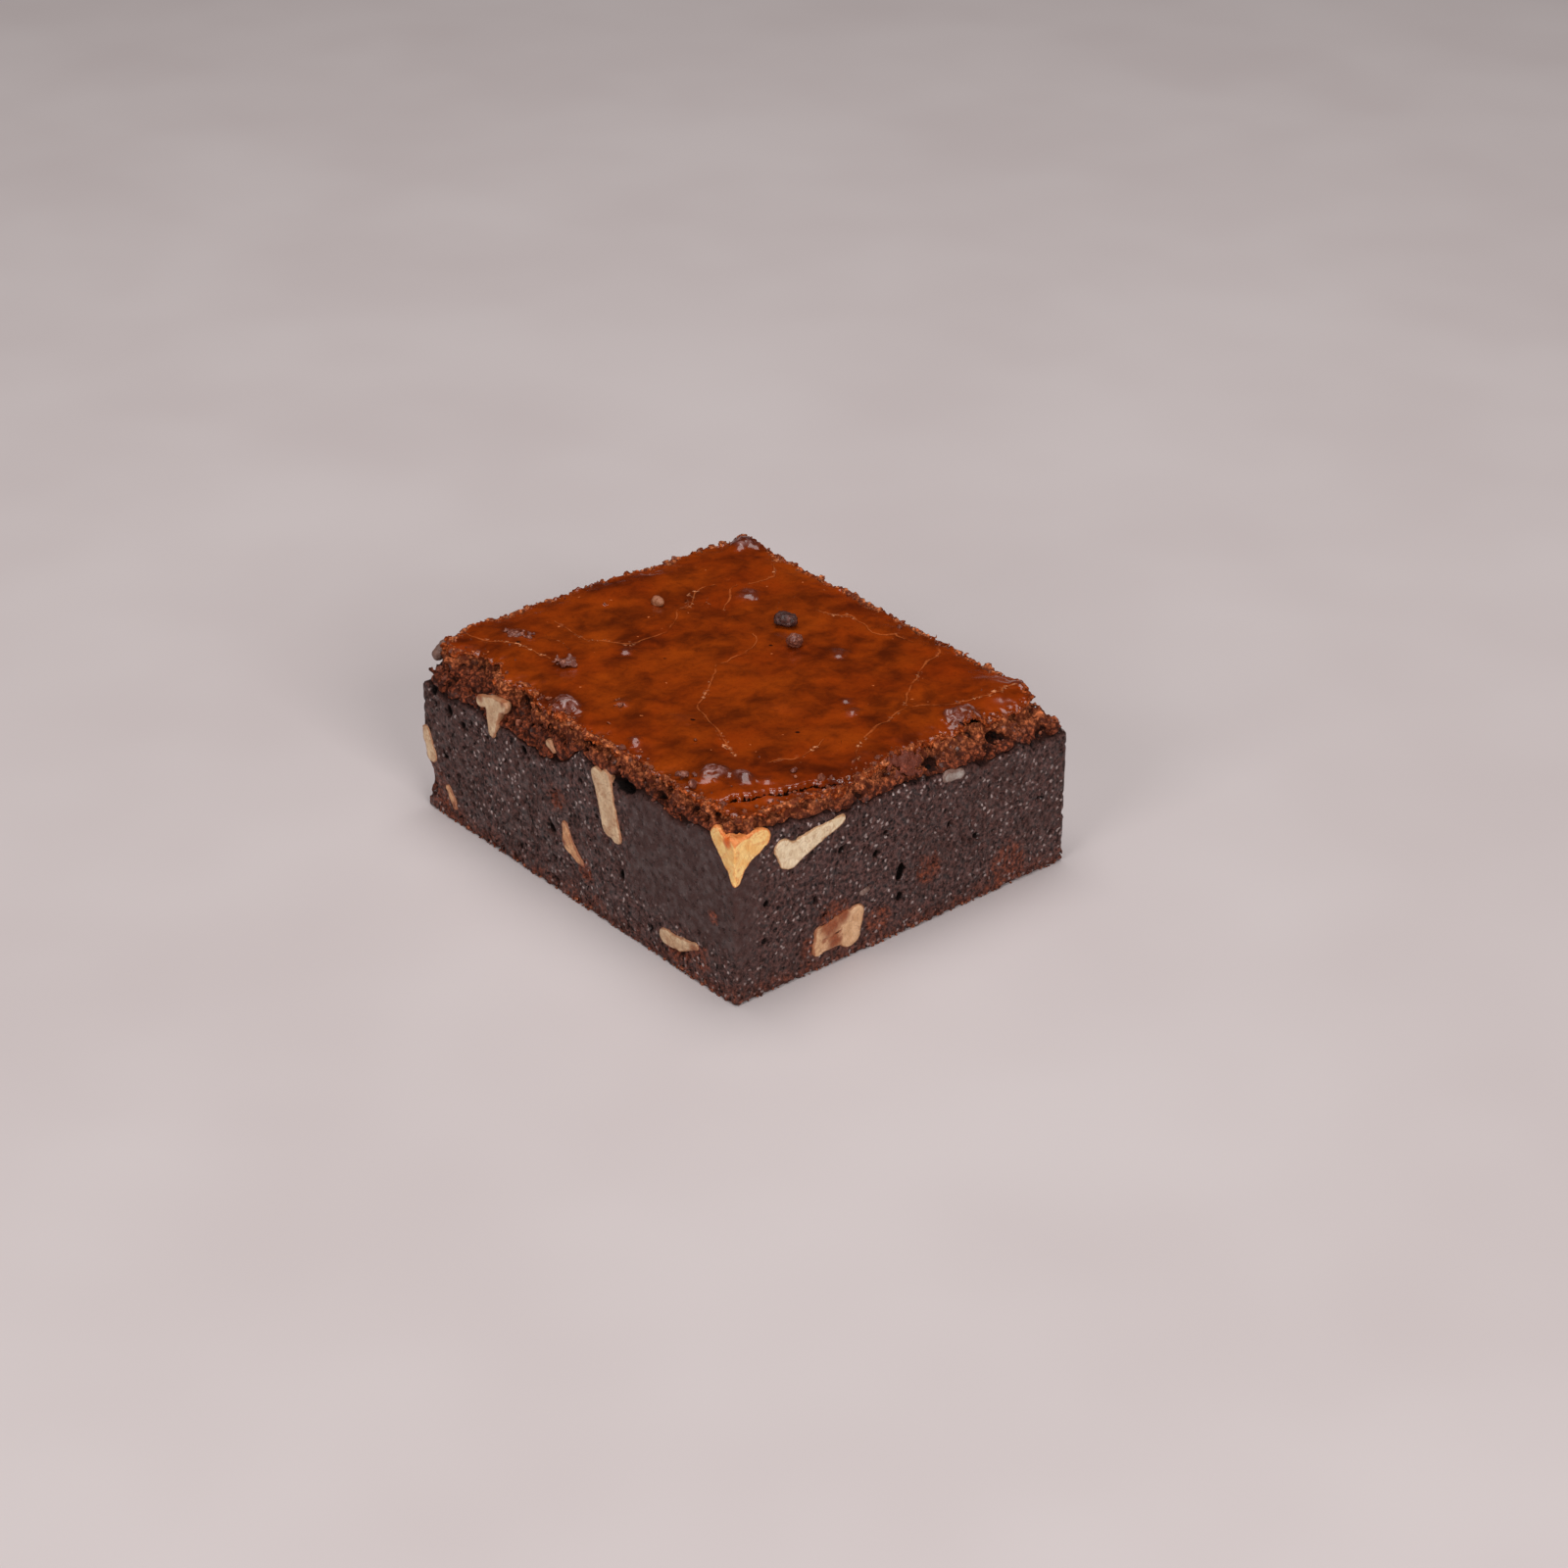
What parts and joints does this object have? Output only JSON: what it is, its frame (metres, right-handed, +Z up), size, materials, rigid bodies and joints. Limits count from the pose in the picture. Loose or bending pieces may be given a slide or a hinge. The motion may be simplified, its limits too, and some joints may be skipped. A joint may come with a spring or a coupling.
{
  "type": "chocolate walnut brownie",
  "caption": "Square-cut chocolate brownie with a thin glossy cracked crust, a crumbling rim, dark dense crumb and pale walnut pieces in its cut faces.",
  "frame": {"origin": "middle of the flat underside, on the surface the brownie rests on", "axes": "+X along the long side, +Y along the short side, +Z up through the crust"},
  "size_m": [0.0752, 0.0632, 0.0304],
  "materials": {
    "crumb": "matte",
    "walnut": "satin",
    "walnut_skin": "satin"
  },
  "bodies": {
    "root": {"crumb": "crumb", "walnut_t_piece": "walnut", "walnut_left_edge": "walnut", "walnut_rim_speck": "walnut", "walnut_long_slice": "walnut", "walnut_skinned_sliver": "walnut_skin", "walnut_hollow_chip": "walnut_skin", "walnut_low_curl": "walnut", "walnut_front_corner": "walnut", "walnut_pale_diagonal": "walnut", "walnut_two_lobes": "walnut", "walnut_grey_chip": "walnut", "walnut_fleck": "walnut", "walnut_top_chip": "walnut_skin", "walnut_shoulder_chip": "walnut"}
  },
  "joints": []
}
